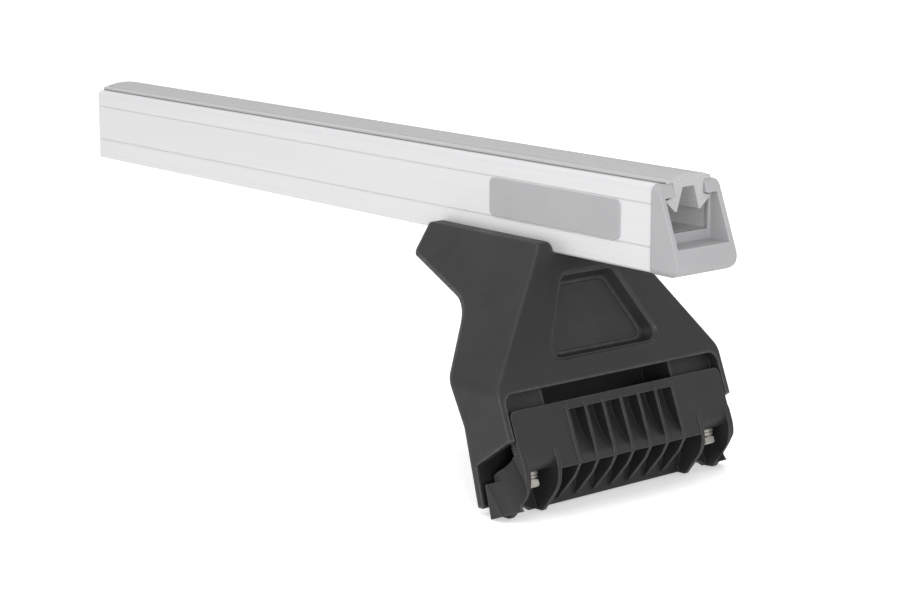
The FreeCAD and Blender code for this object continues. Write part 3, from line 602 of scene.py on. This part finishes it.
def seen_rays(tree):
    """One for a ray from the camera, a reflection or glass, and zero for the rest."""
    rays = tree.nodes.new("ShaderNodeLightPath").outputs
    seen = rays["Is Camera Ray"]
    for kind in ("Is Transmission Ray", "Is Glossy Ray"):
        either = tree.nodes.new("ShaderNodeMath")
        either.operation = "MAXIMUM"
        tree.links.new(seen, either.inputs[0])
        tree.links.new(rays[kind], either.inputs[1])
        seen = either.outputs[0]
    return seen


def paper_material(studio):
    """Pale paper with faint fibres, lit up to white where it is seen or reflected."""
    surface = Surface("studio_paper", studio.floor, roughness=0.9, specular=0.0)
    glow = surface.ramp(seen_rays(surface.tree), across=(0, 1), to=(0, studio.glow))
    surface.feed(glow, surface.shader.inputs["Emission Strength"])
    surface.shader.inputs["Emission Color"].default_value = WHITE
    fibre = surface.ramp(surface.noise(size=0.004, detail=5), across=(0.4, 0.6))
    return surface.done(surface.mix(fibre, studio.floor, scaled(studio.floor, gain=1.01)))


def pale_floor(studio):
    """Floor just under the lowest point."""
    mesh = bmesh.new()
    bmesh.ops.create_grid(mesh, x_segments=1, y_segments=1, size=FLOOR_REACH)
    floor = bpy.data.objects.new("studio_floor", finished(mesh, "studio_floor"))
    floor.location = (0, 0, CAD_BOX[0][2] - FLOOR_DROP)
    bpy.context.scene.collection.objects.link(floor)
    floor.data.materials.append(paper_material(studio))


def plain_sky(strength):
    """Even light from all round, white where it is seen directly or in a reflection."""
    world = bpy.data.worlds.new("studio_sky")
    world.use_nodes = True
    bpy.context.scene.world = world
    tree = world.node_tree
    level = tree.nodes.new("ShaderNodeMapRange")
    tree.links.new(seen_rays(tree), level.inputs["Value"])
    level.inputs["To Min"].default_value = strength
    level.inputs["To Max"].default_value = 1.0
    background = tree.nodes["Background"]
    tree.links.new(level.outputs["Result"], background.inputs["Strength"])
    background.inputs["Color"].default_value = WHITE


def picture_camera(studio):
    """Camera at the picture's place and angle."""
    camera = bpy.data.objects.new("picture_camera", bpy.data.cameras.new("picture_camera"))
    camera.data.lens = studio.lens
    camera.data.clip_start = NEAREST_VIEW
    bpy.context.scene.collection.objects.link(camera)
    aimed(camera, studio.eye, studio.sight)
    bpy.context.scene.camera = camera


# Operators


class RackOperator(bpy.types.Operator):
    """Shared parts of the rack's operators."""

    bl_options = {"REGISTER", "UNDO"}


class RACK_OT_crossbar(RackOperator):
    """Gives the extrusion its satin silver finish"""

    bl_idname = "rack.crossbar"
    bl_label = "Crossbar"

    def execute(self, context):
        dress("crossbar", anodised_aluminium("anodised_aluminium", context.scene.rack_finishes))
        return {"FINISHED"}


class RACK_OT_strip(RackOperator):
    """Gives the strip its matt grey rubber"""

    bl_idname = "rack.strip"
    bl_label = "Rubber strip"

    def execute(self, context):
        dress("top_strip", extruded_rubber("extruded_rubber", context.scene.rack_finishes))
        return {"FINISHED"}


class RACK_OT_cap(RackOperator):
    """Gives the end cap its grey plastic"""

    bl_idname = "rack.cap"
    bl_label = "End cap"

    def execute(self, context):
        finishes = context.scene.rack_finishes
        plastic = grey_plastic(
            "cap_plastic", finishes.cap, finishes, finishes.jaw_rim, grain=0.0005, rough=(0.45, 0.56))
        dress("end_cap", plastic)
        return {"FINISHED"}


class RACK_OT_plates(RackOperator):
    """Gives the bare plates on the bar and in the leg their finishes"""

    bl_idname = "rack.plates"
    bl_label = "Bare plates"

    def execute(self, context):
        finishes = context.scene.rack_finishes
        rim = finishes.plate_rim
        label = grey_plastic("label_plate", finishes.label, finishes, rim, grain=0.0004, rough=(0.31, 0.42))
        dress("bar_label", label)
        dress("leg_badge", moulded_nylon("badge_plate", finishes.badge, finishes, rim))
        return {"FINISHED"}


class RACK_OT_mouldings(RackOperator):
    """Gives the leg and the jaw their grained black nylon"""

    bl_idname = "rack.mouldings"
    bl_label = "Leg and jaw"

    def execute(self, context):
        finishes = context.scene.rack_finishes
        for node, rim in (("leg_body", finishes.leg_rim), ("clamp_jaw", finishes.jaw_rim)):
            dress(node, moulded_nylon(node + "_nylon", finishes.nylon, finishes, rim))
        return {"FINISHED"}


class RACK_OT_fasteners(RackOperator):
    """Plates every fastener, and makes the threaded bolts and the rounded clamp washers"""

    bl_idname = "rack.fasteners"
    bl_label = "Fasteners"

    def execute(self, context):
        sizes = context.scene.rack_fasteners
        zinc = zinc_plate("zinc_plate", context.scene.rack_finishes)
        groups = [side + "_clamp" for side in SIDES] + [place + "_channel" for place in PLACES]
        for group in groups:
            for kind in FASTENER_KINDS:
                dress(f"{group}_{kind}", zinc)
        for side in SIDES:
            put_clamp_fasteners(side, sizes, zinc)
        for place in PLACES:
            put_channel_bolt(place, sizes, zinc)
        return {"FINISHED"}


class RACK_OT_studio(RackOperator):
    """Sets up the pale floor, the soft light and the camera"""

    bl_idname = "rack.studio"
    bl_label = "Studio"

    def execute(self, context):
        studio = context.scene.rack_studio
        pale_floor(studio)
        plain_sky(studio.sky)
        for name, place, target, side in LAMPS:
            soft_lamp(name + "_lamp", place, target, side, getattr(studio, name + "_power"))
        picture_camera(studio)
        context.scene.view_settings.view_transform = "Standard"
        return {"FINISHED"}


OPERATORS = (
    RACK_OT_studio,
    RACK_OT_crossbar,
    RACK_OT_strip,
    RACK_OT_cap,
    RACK_OT_plates,
    RACK_OT_mouldings,
    RACK_OT_fasteners,
)


class RACK_PT_panel(bpy.types.Panel):
    """Lists the rack's pieces and settings"""

    bl_label = "Roof rack"
    bl_idname = "RACK_PT_panel"
    bl_space_type = "VIEW_3D"
    bl_region_type = "UI"
    bl_category = "Roof rack"

    def draw(self, context):
        for operator in OPERATORS:
            self.layout.operator(operator.bl_idname)
        scene = context.scene
        for settings in (scene.rack_finishes, scene.rack_fasteners, scene.rack_studio):
            box = self.layout.box()
            for name in settings.__annotations__:
                box.prop(settings, name)


SETTINGS = (("rack_finishes", RackFinishes), ("rack_fasteners", RackFasteners), ("rack_studio", RackStudio))


def register():
    """Registers the settings, operators and panel."""
    for name, group in SETTINGS:
        bpy.utils.register_class(group)
        setattr(bpy.types.Scene, name, PointerProperty(type=group))
    for operator in OPERATORS:
        bpy.utils.register_class(operator)
    bpy.utils.register_class(RACK_PT_panel)


def unregister():
    """Takes the settings, operators and panel away again."""
    bpy.utils.unregister_class(RACK_PT_panel)
    for operator in reversed(OPERATORS):
        bpy.utils.unregister_class(operator)
    for name, group in reversed(SETTINGS):
        delattr(bpy.types.Scene, name)
        bpy.utils.unregister_class(group)


def main():
    """Builds everything in order."""
    register()
    for operator in OPERATORS:
        group, action = operator.bl_idname.split(".")
        getattr(getattr(bpy.ops, group), action)()


if __name__ == "__main__":
    main()
